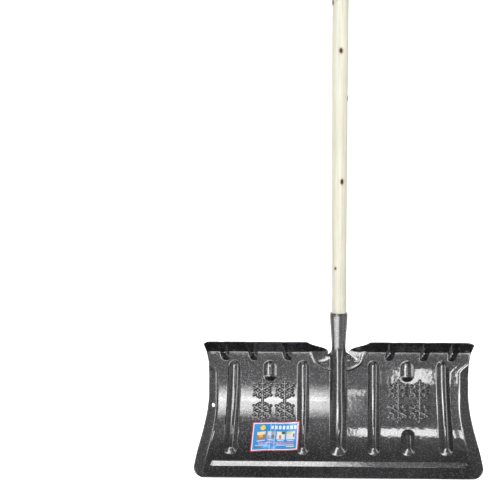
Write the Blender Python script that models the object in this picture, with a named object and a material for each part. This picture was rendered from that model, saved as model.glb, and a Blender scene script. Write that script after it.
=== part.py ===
"""A snow pusher: one pressed steel sheet that is blade and rolled socket, on a straight wooden handle.

Frame: metres, +Z up along the handle, the hollow front of the blade faces -Y, and the origin is at the
middle of the base of the whole object's box. In the comments, "forward" means towards -Y, and the
distance called s runs up the sheet from the cutting edge, along its curve.
"""

import math

import bmesh
import bpy
from mathutils import Matrix, Vector

# ---------------------------------------------------------------- driving dimensions
SHEET = 0.0016  # thickness of the pressed sheet
STRIP = 0.044  # flat strip behind the cutting edge
STRIP_LEAN = math.radians(46.0)  # the strip's angle from the vertical, running forward as it goes down
BOWL_RADIUS = 0.270
TOP_LEAN = math.radians(-0.5)  # where the bowl ends, at the fold
FOLD_RADIUS = 0.006
FOLD_TURN = math.radians(35.0)
LIP = 0.0242  # flat part of the folded lip
STEM_TURN_LENGTH = 0.020  # over which the socket turns upright
BOWL = BOWL_RADIUS * (STRIP_LEAN - TOP_LEAN)
FOLD_AT = STRIP + BOWL + FOLD_RADIUS * FOLD_TURN / 2
BLADE_TOP = STRIP + BOWL + FOLD_RADIUS * FOLD_TURN + LIP

WAIST = 0.255  # half width at the narrowest height
BOTTOM_FLARE = 0.0265  # added to the half width at the cutting edge
TOP_FLARE = 0.0150  # and at the top
FAN = {"share": 0.03, "at": 0.2045, "low": 0.050, "high": 0.246}  # the ribs spread a little downwards
CORNER_RADIUS = 0.015

STEM_HALF = 0.036  # half width of the sheet that rolls up into the socket
SCALLOP_HALF = 0.0635  # half width of the gap in the lip round the socket
SCALLOP_LOW = 0.257
STEM_LENGTH = 0.086
ROLL_START, ROLL_END = 0.241, 0.279
ROLL_FADES_AT = 0.058  # half width beyond which the sheet stays flat beside the socket
UPRIGHT_FADES_AT = 0.050
RELIEF_TOP = 0.253  # the ridge's shape is carried up no further than this
RIDGE_FULL_AT = 0.220  # where the ridge has its full height
SEAM_ANGLE = math.radians(174.0)  # each edge of the rolled sheet stops here, short of the other
SOCKET_NECK, SOCKET_MOUTH = 0.0131, 0.0171  # radii of the middle of the wall

RIDGE = {"half": 0.0165, "height": 0.0150, "low_height": 0.0090, "start": 0.0515}
# (distance from the middle at the top, lower end, upper end, half width, height)
RIBS = [
    (0.069, 0.0543, 0.2465, 0.0115, 0.0080),
    (0.135, 0.0530, 0.1075, 0.0125, 0.0070),
    (0.135, 0.2055, 0.2465, 0.0135, 0.0060),
    (0.2045, 0.0543, 0.2465, 0.0115, 0.0080),
]
RIB_SHAPE = 1.25  # power that rounds a rib's foot into the sheet: 1 leaves a crease there
# the long crease behind the cutting edge
BEAD = {"at": 0.0343, "half": 0.0068, "reach": 0.2412, "height": 0.0040}
DARTS = [0.1023, 0.170, 0.2257]  # the creases pressed across the fold stand at these distances
DART = {"half": 0.0075, "reach": 0.022, "height": 0.0055}
# the curved crease beside the socket's foot
SWAGE = {"x": 0.0125, "s": 0.2715, "radius": 0.0425, "half": 0.0050, "height": 0.0020}
WING = {"line": 0.240, "foot_spread": 0.027, "foot": -0.020, "low": 0.160, "high": 0.221, "end": 0.246}
WING_TURN = math.radians(42.0)
WING_ROUNDING = 0.003
WING_COLUMNS_FROM = 0.2370  # grid lines outside this follow the blade's edge
WING_HOLE = {"x": -0.2465, "s": 0.156, "radius": 0.0040}

LABEL = {"left": -0.1680, "right": -0.0765, "low": 0.060, "high": 0.1235, "thick": 0.0003}
GAP = 0.0003  # between pieces that lie on each other

HANDLE_LENGTH = 1.200
HANDLE_TIP = 0.224  # height of the end inside the socket
HANDLE_RADIUS = 0.0170
HANDLE_MOUTH_RADIUS = 0.0149
HANDLE_FULL_AT = 0.940  # above this height the handle no longer widens
HANDLE_ROUNDING = 0.004  # of the top end's edge
HANDLE_SIDES = 40

SCREW = {"head": 0.0042, "head_height": 0.0026, "recess": 0.0010}
SCREW |= {"shank": 0.0019, "length": 0.0150, "tip": 0.0030}
SCREW_STANDS_OFF = GAP + 0.0006  # a flat head on a round socket touches only in its middle
SCREW_SIDES = 20
# height and bearing round from the front
SCREW_PLACES = {
    "fixing_screw_upper": (0.2945, math.radians(142.0)),
    "fixing_screw_lower": (0.2720, math.radians(-142.0)),
}


# ---------------------------------------------------------------- the sheet's shape
def smooth(low, high, value):
    """0 below low, 1 above high, and an even slope between them."""
    share = min(1.0, max(0.0, (value - low) / (high - low)))
    return share * share * (3 - 2 * share)


def walk(stretches, lean, distance):
    """(back, up, lean) after going this far along stretches of (length, turn per metre)."""
    back = up = 0.0
    for length, turn in stretches:
        step = min(length, distance)
        if turn:
            after = lean + turn * step
            back += (math.cos(lean) - math.cos(after)) / turn
            up += (math.sin(after) - math.sin(lean)) / turn
            lean = after
        else:
            back += math.sin(lean) * step
            up += math.cos(lean) * step
        distance -= step
        if distance <= 0:
            break
    return back, up, lean


def blade_line(s):
    """The sheet's side view out towards its ends, with the folded lip."""
    bends = [(STRIP, 0), (BOWL, -1 / BOWL_RADIUS), (FOLD_RADIUS * FOLD_TURN, -1 / FOLD_RADIUS), (LIP, 0)]
    return walk(bends, STRIP_LEAN, s)


def stem_line(s):
    """The side view on the middle line, which turns upright into the socket."""
    bowl = SCALLOP_LOW - STRIP
    lean = STRIP_LEAN - bowl / BOWL_RADIUS
    bends = [(STRIP, 0), (bowl, -1 / BOWL_RADIUS), (STEM_TURN_LENGTH, -lean / STEM_TURN_LENGTH), (1.0, 0)]
    return walk(bends, STRIP_LEAN, s)


AXIS_BACK = stem_line(0.4)[0]  # the handle's axis runs up the middle of the upright sheet


def edge_half_width(s):
    """Half the blade's width, flared at the top and at the cutting edge, with round lower corners."""
    half = WAIST + BOTTOM_FLARE * (1 - smooth(-0.010, 0.180, s)) + TOP_FLARE * smooth(0.215, 0.330, s)
    if s < CORNER_RADIUS:
        half -= CORNER_RADIUS - math.sqrt(CORNER_RADIUS**2 - (CORNER_RADIUS - s) ** 2)
    return half


def fanned(x, s):
    """Where the column that meets the top at x stands at s: the outer columns spread towards the bottom."""
    low_share = 1 - smooth(FAN["low"], FAN["high"], s)
    return x * (1 + FAN["share"] * low_share * (x / FAN["at"]) ** 2)


def unfanned(x, s):
    """The other way round, near enough for so small a spread."""
    return x * x / fanned(x, s) if x else 0.0


def pressed(distance, half, height):
    """Height of a pressed rib at this distance from its middle."""
    return height * max(0.0, 1 - (distance / half) ** 2) ** RIB_SHAPE


def to_segment(value, across, low, high):
    """Distance to a straight stretch that runs from low to high."""
    return math.hypot(across, value - min(max(value, low), high))


def ridge_height(x, s):
    """The middle ridge grows from a round foot near the cutting edge and runs up into the socket."""
    height = RIDGE["low_height"] + (RIDGE["height"] - RIDGE["low_height"]) * smooth(0.10, 0.20, s)
    distance = to_segment(s, x, RIDGE["start"] + RIDGE["half"], 1.0)
    return pressed(distance, RIDGE["half"], height)


def wing_height(x, s):
    """The side wings turn forward outside a line that meets the edge at its top and opens at its foot."""
    line = WING["line"] + WING["foot_spread"] * (1 - smooth(WING["foot"], WING["low"], s))
    line += (WAIST + 0.004 - WING["line"]) * smooth(WING["high"], WING["end"], s)
    outside = x - line
    if outside < -0.02:
        return 0.0
    return math.tan(WING_TURN) * (math.hypot(outside, WING_ROUNDING) + outside) / 2


def relief(x, s):
    """How far the sheet stands forward of its plain curve at x across and s up."""
    x = abs(x)
    wing = wing_height(x, s)
    heights = [ridge_height(x, s)]
    x = unfanned(x, s)
    for at, low, high, half, height in RIBS:
        heights.append(pressed(to_segment(s, x - at, low + half, high - half), half, height))
    from_bead = to_segment(x, s - BEAD["at"], -BEAD["reach"], BEAD["reach"])
    heights.append(pressed(from_bead, BEAD["half"], BEAD["height"]))
    dart_height = DART["height"] * max(0.0, 1 - abs(s - FOLD_AT) / DART["reach"])
    for at in DARTS:
        heights.append(pressed(x - at, DART["half"], dart_height))
    if s < FOLD_AT:
        from_ring = math.hypot(x - SWAGE["x"], s - SWAGE["s"]) - SWAGE["radius"]
        heights.append(pressed(from_ring, SWAGE["half"], SWAGE["height"]))
    return max(heights) + wing


def socket_radius(s):
    """Radius of the middle of the socket's wall, which widens up to its mouth."""
    return SOCKET_NECK + (SOCKET_MOUTH - SOCKET_NECK) * smooth(0.263, SCALLOP_LOW + STEM_LENGTH, s)


def roll_angle(x):
    """Where a point x across the sheet ends up round the socket, counting the sheet in the ridge's bulge."""
    steps = 60
    lengths = [0.0]
    for i in range(steps):
        low, high = STEM_HALF * i / steps, STEM_HALF * (i + 1) / steps
        rise = ridge_height(high, RIDGE_FULL_AT) - ridge_height(low, RIDGE_FULL_AT)
        lengths.append(lengths[-1] + math.hypot(high - low, rise))
    share = min(abs(x) / STEM_HALF, 1.0) * steps
    i = min(int(share), steps - 1)
    length = lengths[i] + (lengths[i + 1] - lengths[i]) * (share - i)
    return math.copysign(SEAM_ANGLE * length / lengths[-1], x)


def sheet_point(x, s):
    """A point of the sheet's middle surface, with the cutting edge at Y 0."""
    roll = smooth(ROLL_START, ROLL_END, s) * (1 - smooth(STEM_HALF, ROLL_FADES_AT, abs(x)))
    upright = 1 - smooth(STEM_HALF, UPRIGHT_FADES_AT, abs(x))
    outer, middle = blade_line(s), stem_line(s)
    back, up, lean = (b + (m - b) * upright for b, m in zip(outer, middle))
    relief_ends = BLADE_TOP if abs(x) > STEM_HALF else RELIEF_TOP
    forward = relief(x, min(s, relief_ends))
    pressed_point = Vector((x, back - forward * math.cos(lean), up + forward * math.sin(lean)))
    angle = roll_angle(x)
    rolled_point = Vector((math.sin(angle), -math.cos(angle), 0)) * socket_radius(s)
    rolled_point += Vector((0, AXIS_BACK, up))
    return pressed_point.lerp(rolled_point, roll)


# ---------------------------------------------------------------- grid lines of the sheet
def half_columns():
    """Distances from the middle of the grid lines that run up the sheet, out to the wing line."""
    lines = [0, 0.004, 0.008, 0.011, 0.0135, 0.0155, 0.0175, 0.022, 0.027, 0.0315, STEM_HALF]
    lines += [0.041, 0.047, 0.053, 0.0585, SCALLOP_HALF]
    for at, _, _, half, _ in RIBS:
        lines += [at + half * share for share in (-1.05, -0.75, -0.4, 0, 0.4, 0.75, 1.05)]
    for at in DARTS:
        lines += [at + DART["half"] * share for share in (-1, -0.55, 0, 0.55, 1)]
    lines += [-LABEL["left"], -LABEL["right"], 0.117, 0.155, 0.188]
    kept = []
    for line in sorted(lines):
        if not kept or line - kept[-1] > CLOSEST_COLUMNS:
            kept.append(line)
    return kept


WING_SHARES = (0.0, 0.28, 0.62, 1.0)  # grid lines in a wing, as shares of its width
CLOSEST_COLUMNS = 0.0019
# grid lines across the sheet, by their distance up it
ROWS = [0, 0.004, 0.009, 0.015, 0.0215, 0.0275, 0.0309, 0.0343, 0.0377, 0.0411, 0.045, 0.049, 0.053, 0.0565]
ROWS += [LABEL["low"], 0.066, 0.074, 0.084, 0.094, 0.101, 0.107, 0.115, LABEL["high"], 0.134, 0.146, 0.158]
ROWS += [0.171, 0.184, 0.196, 0.204, 0.209, 0.214, 0.220, 0.227, 0.235, 0.241, 0.246, 0.251, 0.256, 0.261]
ROWS += [FOLD_AT, 0.268, 0.274, 0.282, BLADE_TOP]
SQUEEZED_ABOVE = 0.220  # rows above this close up where the sheet is cut away
STEM_ROWS = [0.2605, 0.264, 0.268, 0.272, 0.277, 0.283, 0.292, 0.303, 0.316, 0.330, SCALLOP_LOW + STEM_LENGTH]


def top_of_column(x):
    """Where the sheet ends above this column: at the lip, in the scallop or at the socket's foot."""
    share = (abs(x) - STEM_HALF) / (SCALLOP_HALF - STEM_HALF)
    if share <= 0:
        return SCALLOP_LOW
    return SCALLOP_LOW + (BLADE_TOP - SCALLOP_LOW) * smooth(-0.10, 1.02, share)


def row_height(x, s):
    """A grid row's distance up the sheet: rows above the bowl close up where the sheet is cut away."""
    if s <= SQUEEZED_ABOVE:
        return s
    share = (s - SQUEEZED_ABOVE) / (BLADE_TOP - SQUEEZED_ABOVE)
    return SQUEEZED_ABOVE + share * (top_of_column(x) - SQUEEZED_ABOVE)


def column_x(column, s):
    """A column's place across the sheet. One in a wing is given as (side, share) and follows the edge."""
    if isinstance(column, tuple):
        side, share = column
        inner = fanned(WING_COLUMNS_FROM, s)
        return side * (inner + share * (edge_half_width(s) - inner))
    return fanned(column, s)


def sheet_columns():
    right = half_columns()
    plain = [-x for x in reversed(right[1:])] + right
    left_wing = [(-1, share) for share in reversed(WING_SHARES)]
    right_wing = [(1, share) for share in WING_SHARES]
    return left_wing + plain + right_wing


# ---------------------------------------------------------------- making objects
def clear_scene():
    for obj in list(bpy.data.objects):
        bpy.data.objects.remove(obj)


def material(name, color, roughness, metallic):
    made = bpy.data.materials.new(name)
    made.use_nodes = True
    shader = made.node_tree.nodes["Principled BSDF"]
    shader.inputs["Base Color"].default_value = (*color, 1)
    shader.inputs["Roughness"].default_value = roughness
    shader.inputs["Metallic"].default_value = metallic
    return made


def add_object(name, bm, finish, parent):
    """The bmesh as an object that hangs on the shovel's empty."""
    bmesh.ops.recalc_face_normals(bm, faces=bm.faces)
    mesh = bpy.data.meshes.new(name)
    bm.to_mesh(mesh)
    bm.free()
    mesh.materials.append(finish)
    obj = bpy.data.objects.new(name, mesh)
    obj.parent = parent
    bpy.context.scene.collection.objects.link(obj)
    return obj


def round_shading(obj):
    obj.data.shade_smooth()
    obj.data.set_sharp_from_angle(angle=math.radians(35))


def solidify(obj, thickness):
    modifier = obj.modifiers.new("thickness", "SOLIDIFY")
    modifier.thickness = thickness
    modifier.offset = 0
    modifier.use_even_offset = True
    return modifier


def cut(obj, cutter):
    modifier = obj.modifiers.new(f"cut by {cutter.name}", "BOOLEAN")
    modifier.operation = "DIFFERENCE"
    modifier.object = cutter
    modifier.solver = "EXACT"
    return modifier


def turned(bm, profile, sides):
    """Adds to bm a solid turned about Z from (radius, height) points that start and end on the axis."""
    rings = []
    for radius, height in profile:
        if radius == 0:
            rings.append([bm.verts.new((0, 0, height))])
            continue
        turns = [2 * math.pi * i / sides for i in range(sides)]
        rings.append([bm.verts.new((radius * math.cos(t), radius * math.sin(t), height)) for t in turns])
    for low, high in zip(rings, rings[1:]):
        for i in range(sides):
            j = (i + 1) % sides
            corners = [low[i % len(low)], low[j % len(low)], high[j % len(high)], high[i % len(high)]]
            bm.faces.new(list(dict.fromkeys(corners)))


def add_cutter(name, radius, start, direction, length, parent):
    """A hidden rod that other pieces are cut by."""
    bm = bmesh.new()
    turned(bm, [(0, 0), (radius, 0), (radius, length), (0, length)], SCREW_SIDES)
    bmesh.ops.transform(bm, matrix=pointing(start, direction), verts=bm.verts)
    cutter = add_object(name, bm, bpy.data.materials[0], parent)
    cutter.hide_render = True
    cutter.display_type = "WIRE"
    return cutter


def pointing(place, direction):
    """A matrix that moves +Z at the origin to this place and direction."""
    turn = Vector(direction).to_track_quat("Z", "Y").to_matrix().to_4x4()
    return Matrix.Translation(place) @ turn


# ---------------------------------------------------------------- pieces
def make_head(finish, parent):
    """The pressed sheet: the blade's grid, then the grid of the socket on the same middle columns."""
    bm = bmesh.new()
    columns = sheet_columns()
    grid = []
    for column in columns:
        line = []
        for row in ROWS:
            across = column_x(column, row)
            line.append(bm.verts.new(sheet_point(across, row_height(across, row))))
        grid.append(line)
    for first, second in zip(grid, grid[1:]):
        for j in range(len(ROWS) - 1):
            bm.faces.new((first[j], second[j], second[j + 1], first[j + 1]))

    stem = [i for i, c in enumerate(columns) if not isinstance(c, tuple) and abs(c) <= STEM_HALF]
    lines = [[grid[i][-1]] + [bm.verts.new(sheet_point(columns[i], s)) for s in STEM_ROWS] for i in stem]
    for first, second in zip(lines, lines[1:]):
        for j in range(len(STEM_ROWS)):
            bm.faces.new((first[j], second[j], second[j + 1], first[j + 1]))
    head = add_object("blade_with_socket", bm, finish, parent)
    round_shading(head)
    solidify(head, SHEET)
    return head


def make_label(finish, parent):
    """The label lies on the front of the sheet, over the short rib, on the sheet's own grid lines."""
    bm = bmesh.new()
    across = [-x for x in reversed(half_columns()) if LABEL["left"] - 1e-6 <= -x <= LABEL["right"] + 1e-6]
    up = [s for s in ROWS if LABEL["low"] - 1e-6 <= s <= LABEL["high"] + 1e-6]
    grid = [[bm.verts.new(sheet_point(fanned(x, s), s)) for s in up] for x in across]
    for first, second in zip(grid, grid[1:]):
        for j in range(len(up) - 1):
            bm.faces.new((first[j], first[j + 1], second[j + 1], second[j]))
    bm.normal_update()
    lift = SHEET / 2 + GAP + LABEL["thick"] / 2
    outward = [(v, v.normal * (1 if v.normal.y < 0 else -1)) for v in bm.verts]
    for vert, normal in outward:
        vert.co += normal * lift * 1.15
    label = add_object("label", bm, finish, parent)
    round_shading(label)
    solidify(label, LABEL["thick"])
    return label


def inner_socket_radius(height):
    """Inside radius of the rolled socket at this height."""
    foot = stem_line(SCALLOP_LOW)
    return socket_radius(SCALLOP_LOW + height - foot[1]) - SHEET / 2


def handle_profile():
    """(radius, height) up the handle: a blunt tapered tip, a cone that fills the socket, then the pole."""
    mouth = stem_line(SCALLOP_LOW + STEM_LENGTH)[1]
    top = HANDLE_TIP + HANDLE_LENGTH
    points = [(0, HANDLE_TIP), (0.0070, HANDLE_TIP), (0.0085, HANDLE_TIP + 0.0015)]
    points += [(0.0100, HANDLE_TIP + 0.012), (0.0112, HANDLE_TIP + 0.024)]
    cone = [HANDLE_TIP + 0.034 + 0.006 * i for i in range(4)]
    points += [(min(inner_socket_radius(z) - 0.0006, HANDLE_MOUTH_RADIUS), z) for z in cone]
    points += [(HANDLE_MOUTH_RADIUS, mouth - 0.010), (HANDLE_MOUTH_RADIUS, mouth + 0.010)]
    for share in (0.25, 0.5, 0.75, 1.0):
        height = mouth + 0.010 + share * (HANDLE_FULL_AT - mouth - 0.010)
        points.append((HANDLE_MOUTH_RADIUS + share * (HANDLE_RADIUS - HANDLE_MOUTH_RADIUS), height))
    edge = HANDLE_ROUNDING
    points += [(HANDLE_RADIUS, 1.10), (HANDLE_RADIUS, 1.26), (HANDLE_RADIUS, top - edge)]
    for step in (1, 2, 3):
        turn = step * math.pi / 6
        points.append((HANDLE_RADIUS - edge * (1 - math.cos(turn)), top - edge * (1 - math.sin(turn))))
    return points + [(0, top)]


def make_handle(finish, parent):
    bm = bmesh.new()
    turned(bm, handle_profile(), HANDLE_SIDES)
    bmesh.ops.translate(bm, vec=(0, AXIS_BACK, 0), verts=bm.verts)
    handle = add_object("handle", bm, finish, parent)
    round_shading(handle)
    return handle


def screw_seat(height, bearing):
    """(place on the socket's outer face, outward direction), the bearing counted round from the front."""
    outward = Vector((math.sin(bearing), -math.cos(bearing), 0))
    radius = inner_socket_radius(height) + SHEET
    return Vector((0, AXIS_BACK, height)) + outward * radius, outward


def cut_recess(screw, place, parent):
    """The cross in the screw's head."""
    bm = bmesh.new()
    long = SCREW["head"] * 1.15
    wide = SCREW["recess"]
    deep = SCREW["head_height"] * 1.2
    for size in ((long, wide, deep), (wide, long, deep * 1.001)):
        bar = bmesh.ops.create_cube(bm, size=1.0)["verts"]
        bmesh.ops.scale(bm, vec=size, verts=bar)
    middle = place @ Matrix.Translation((0, 0, SCREW["head_height"]))
    bmesh.ops.transform(bm, matrix=middle, verts=bm.verts)
    recess = add_object(f"{screw.name}_recess", bm, screw.data.materials[0], parent)
    recess.hide_render = True
    recess.display_type = "WIRE"
    cut(screw, recess).use_self = True


def make_screw(name, seat, outward, finish, parent):
    """A pan-head wood screw with a cross recess, driven through the socket into the handle."""
    head, rise = SCREW["head"], SCREW["head_height"]
    shank, length = SCREW["shank"], SCREW["length"]
    profile = [(0, -length - SCREW["tip"]), (shank, -length), (shank, 0), (head, 0)]
    profile += [(head, 0.4 * rise), (head * 0.86, 0.78 * rise), (head * 0.5, rise), (0, rise)]
    bm = bmesh.new()
    turned(bm, profile, SCREW_SIDES)
    place = pointing(seat + outward * SCREW_STANDS_OFF, outward)
    bmesh.ops.transform(bm, matrix=place, verts=bm.verts)
    screw = add_object(name, bm, finish, parent)
    round_shading(screw)
    cut_recess(screw, place, parent)


def make_screws(finish, head, handle, parent):
    """Both screws, with the hole through the sheet and the pilot hole in the handle for each."""
    for name, (height, bearing) in SCREW_PLACES.items():
        seat, outward = screw_seat(height, bearing)
        make_screw(name, seat, outward, finish, parent)
        inward = -outward
        start = seat + outward * 0.004
        sheet_hole = add_cutter(f"{name}_sheet_hole", SCREW["shank"] + 0.0005, start, inward, 0.008, parent)
        cut(head, sheet_hole)
        reach = SCREW["length"] + 0.0085
        cut(handle, add_cutter(f"{name}_pilot", SCREW["shank"] + GAP, start, inward, reach, parent))


def make_wing_hole(head, parent):
    """The round hole by the bend of the left wing."""
    x, s = WING_HOLE["x"], WING_HOLE["s"]
    start = sheet_point(x, s) + Vector((0, -0.02, 0))
    cut(head, add_cutter("wing_hole", WING_HOLE["radius"], start, (0, 1, 0), 0.04, parent))


def box_corners(objects):
    """Corners of the boxes round these objects as they are finished."""
    bpy.context.view_layer.update()
    graph = bpy.context.evaluated_depsgraph_get()
    return [Vector(corner) for o in objects for corner in o.evaluated_get(graph).bound_box]


def main():
    clear_scene()
    steel = material("hammered_enamel", (0.045, 0.043, 0.046), 0.30, 0.4)
    wood = material("bare_wood", (0.80, 0.76, 0.62), 0.60, 0.0)
    zinc = material("zinc", (0.62, 0.62, 0.60), 0.35, 1.0)
    paper = material("printed_label", (0.02, 0.28, 0.80), 0.40, 0.0)

    shovel = bpy.data.objects.new("shovel", None)
    bpy.context.scene.collection.objects.link(shovel)
    head = make_head(steel, shovel)
    handle = make_handle(wood, shovel)
    make_label(paper, shovel)
    make_wing_hole(head, shovel)
    make_screws(zinc, head, handle, shovel)
    corners = box_corners([o for o in shovel.children if not o.hide_render])
    depths = [corner.y for corner in corners]
    shovel.location = (0, -(min(depths) + max(depths)) / 2, -min(corner.z for corner in corners))
    bpy.context.view_layer.update()


main()
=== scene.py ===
"""The snow shovel's looks: hammered enamel, bare wood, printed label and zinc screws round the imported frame.

Frame: metres, +Z up along the handle, the hollow front of the blade faces -Y. The distance called s runs
up the pressed sheet from the cutting edge, along its curve, and x runs across it from the middle.
"""

import math

import bmesh
import bpy
import numpy as np
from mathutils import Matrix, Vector


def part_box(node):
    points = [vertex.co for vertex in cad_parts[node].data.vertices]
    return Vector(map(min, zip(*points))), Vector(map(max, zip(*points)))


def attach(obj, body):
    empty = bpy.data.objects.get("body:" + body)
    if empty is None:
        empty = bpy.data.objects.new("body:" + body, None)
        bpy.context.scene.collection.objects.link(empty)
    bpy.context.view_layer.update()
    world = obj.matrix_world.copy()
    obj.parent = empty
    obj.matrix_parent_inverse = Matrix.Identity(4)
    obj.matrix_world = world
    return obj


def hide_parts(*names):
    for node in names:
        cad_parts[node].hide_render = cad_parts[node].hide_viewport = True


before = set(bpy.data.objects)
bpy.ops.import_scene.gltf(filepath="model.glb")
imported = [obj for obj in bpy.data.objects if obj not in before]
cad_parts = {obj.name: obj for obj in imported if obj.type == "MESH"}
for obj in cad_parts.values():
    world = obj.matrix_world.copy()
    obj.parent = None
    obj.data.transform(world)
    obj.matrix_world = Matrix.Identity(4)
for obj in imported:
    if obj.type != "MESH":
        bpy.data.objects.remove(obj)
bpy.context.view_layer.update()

# ---------------------------------------------------------------- the sheet's driving dimensions
# Up the sheet: a flat strip, a hollow bowl, a tight fold and a straight lip. Each lean is back from upright.
SHEET = 0.0016
STRIP = 0.044
STRIP_LEAN = math.radians(46.0)
BOWL_RADIUS = 0.270
TOP_LEAN = math.radians(-0.5)
FOLD_RADIUS = 0.006
FOLD_TURN = math.radians(35.0)
LIP = 0.0242
BOWL = BOWL_RADIUS * (STRIP_LEAN - TOP_LEAN)
FOLD_AT = STRIP + BOWL + FOLD_RADIUS * FOLD_TURN / 2
BLADE_TOP = STRIP + BOWL + FOLD_RADIUS * FOLD_TURN + LIP

# Half the width at the waist, and how much wider the sheet grows between the two s values at foot and top.
WAIST = 0.255
FOOT_FLARE = {"more": 0.0265, "from": -0.010, "to": 0.180}
TOP_FLARE = {"more": 0.0150, "from": 0.215, "to": 0.330}
CORNER_RADIUS = 0.015
# What is pressed at x = "at" stands wider by this share of its x towards the foot.
FAN = {"share": 0.03, "at": 0.2045, "low": 0.050, "high": 0.246}

# The middle tongue that rolls up into the socket, and the scallop cut out on each side of it. The scallop's
# edge is an even S between two shares of the way out across it.
STEM_HALF = 0.036
STEM_LENGTH = 0.086
STEM_TURN_LENGTH = 0.020
SCALLOP_HALF = 0.0635
SCALLOP_LOW = 0.257
SCALLOP_SHARES = (-0.10, 1.02)
ROLL_START, ROLL_END = 0.241, 0.279
ROLL_FADES_AT = 0.058
UPRIGHT_FADES_AT = 0.050
RELIEF_TOP = 0.253
SEAM_ANGLE = math.radians(174.0)
SOCKET_NECK, SOCKET_MOUTH = 0.0131, 0.0171
SOCKET_WIDENS_FROM = 0.263

RIDGE = {"half": 0.0165, "height": 0.0150, "low_height": 0.0090, "start": 0.0515, "from": 0.10, "to": 0.20}
RIDGE_FULL_AT = 0.22
ROLL_SAMPLES = 61
# (distance from the middle, lower end on the right and on the left, upper end, half width, height)
RIBS = [
    (0.069, 0.0543, 0.0543, 0.2465, 0.0115, 0.0080),
    (0.135, 0.0530, 0.0680, 0.1075, 0.0125, 0.0070),
    (0.135, 0.2055, 0.2055, 0.2465, 0.0135, 0.0060),
    (0.2045, 0.0543, 0.0543, 0.2465, 0.0115, 0.0080),
]
BEAD = {"foot": 0.0265, "crest": 0.0355, "back": 0.0385, "reach": 0.2412, "height": 0.0040, "end": 0.006}
DARTS = [0.1023, 0.170, 0.2257]
DART = {"half": 0.0088, "reach": 0.019, "reach_up": 0.026, "height": 0.0080, "lean": 0.22, "edge": 1.3}
SWAGE = {"x": 0.0125, "s": 0.2715, "radius": 0.0425, "half": 0.0032, "height": 0.0014, "below_fold": 0.001}
WING = {
    "line": 0.240, "foot_spread": 0.027, "foot": -0.020, "low": 0.160, "high": 0.221, "end": 0.246,
    "past_waist": 0.004, "reach_in": 0.02,
}
WING_TURN = math.radians(42.0)
WING_ROUNDING = 0.003
WING_HOLE = {"x": -0.2465, "s": 0.156, "radius": 0.0040}

# Four raised snowflakes on each side: middles across and up the sheet, and arm length. The twigs leave each
# arm at a share of its length, are a share of it long, and lean 60 degrees from it.
FLAKES = {"across": (-0.1500, -0.1060, 0.1180, 0.1600), "up": (0.1465, 0.1875), "arm": 0.0195}
FLAKE_STROKE = {"half": 0.0024, "height": 0.0028, "edge": 0.8}
FLAKE_CLEAR = 1.15
TWIG = {"from": 0.55, "length": 0.34, "cos": 0.5, "sin": 0.866}

# (x, s) of the label's corners: it was stuck on a little askew.
LABEL_CORNERS = {
    "top": ((-0.1685, 0.1228), (-0.0750, 0.1243)),
    "foot": ((-0.1735, 0.0585), (-0.0783, 0.0618)),
}
LABEL_LIFT = 0.0006
LABEL_THICK = 0.0002
LABEL_COLUMNS, LABEL_ROWS = 96, 66
TAUT_ROUNDS = 500

# How far apart the grid's lines stand on the plain sheet and at what is pressed into it.
PLAIN_STEP = 0.0028
STEM_STEP = 0.0020
RIB_STEP = 0.0014
CREASE_STEP = 0.0012
EDGE_STEP = 0.0010
FLAKE_STEP = 0.00085
BEAD_STEP = 0.0008
FOLD_STEP = 0.0006
FLAKE_MARGIN = 0.0025
WING_COLUMNS = 17
WING_COLUMNS_FROM = 0.2370
SQUEEZED_ABOVE = 0.220
# Where the rows stand closer: from the edge up to here, this far round the bead, below and above each rib's
# foot, between these heights at the ribs' tops, this far round the fold, and up to here at the stem's turn.
EDGE_ROWS = 0.003
BEAD_ROWS = (0.002, 0.001)
RIB_FOOT_ROWS = (0.001, 0.014)
RIB_TOP_ROWS = (0.207, 0.2595)
FOLD_ROWS = 0.005
STEM_TURN_ROWS = 0.285
# Lengths that differ by less than this are the same.
TINY = 1e-9
# Edges that turn by more than this stay sharp.
SHEET_SHARP_ANGLE = math.radians(60)

blade_low = Vector(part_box("blade_with_socket")[0])
handle_low, handle_high = (Vector(c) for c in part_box("handle"))
HANDLE_AXIS_Y = (handle_low.y + handle_high.y) / 2


# ---------------------------------------------------------------- the sheet's shape, on arrays of x and s
def smooth(low, high, value):
    """0 below low, 1 above high, and an even S between them."""
    share = np.clip((value - low) / (high - low), 0.0, 1.0)
    return share * share * (3 - 2 * share)


def walk(stretches, lean, distance):
    """(back, up, lean) after going each distance along stretches of (length, turn per metre)."""
    left = np.array(distance, dtype=float)
    lean = np.full_like(left, lean)
    back = np.zeros_like(left)
    up = np.zeros_like(left)
    for length, turn in stretches:
        step = np.clip(left, 0.0, length)
        if turn:
            after = lean + turn * step
            back += (np.cos(lean) - np.cos(after)) / turn
            up += (np.sin(after) - np.sin(lean)) / turn
            lean = after
        else:
            back += np.sin(lean) * step
            up += np.cos(lean) * step
        left = left - step
    return back, up, lean


def blade_line(s):
    """(back, up, lean) of the blade's section at s."""
    bends = [(STRIP, 0), (BOWL, -1 / BOWL_RADIUS), (FOLD_RADIUS * FOLD_TURN, -1 / FOLD_RADIUS), (LIP, 0)]
    return walk(bends, STRIP_LEAN, s)


def stem_line(s):
    """(back, up, lean) of the middle tongue at s: it leaves the bowl and turns straight up."""
    bowl = SCALLOP_LOW - STRIP
    lean = STRIP_LEAN - bowl / BOWL_RADIUS
    bends = [(STRIP, 0), (bowl, -1 / BOWL_RADIUS), (STEM_TURN_LENGTH, -lean / STEM_TURN_LENGTH), (1.0, 0)]
    return walk(bends, STRIP_LEAN, s)


# Past its turn the stem runs straight up the socket's axis.
PAST_THE_TURN = 0.400
AXIS_BACK = float(stem_line(np.array([PAST_THE_TURN]))[0][0])
SHEET_TO_FRAME = np.array([0.0, HANDLE_AXIS_Y - AXIS_BACK, SHEET / 2 * math.sin(STRIP_LEAN)])


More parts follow.
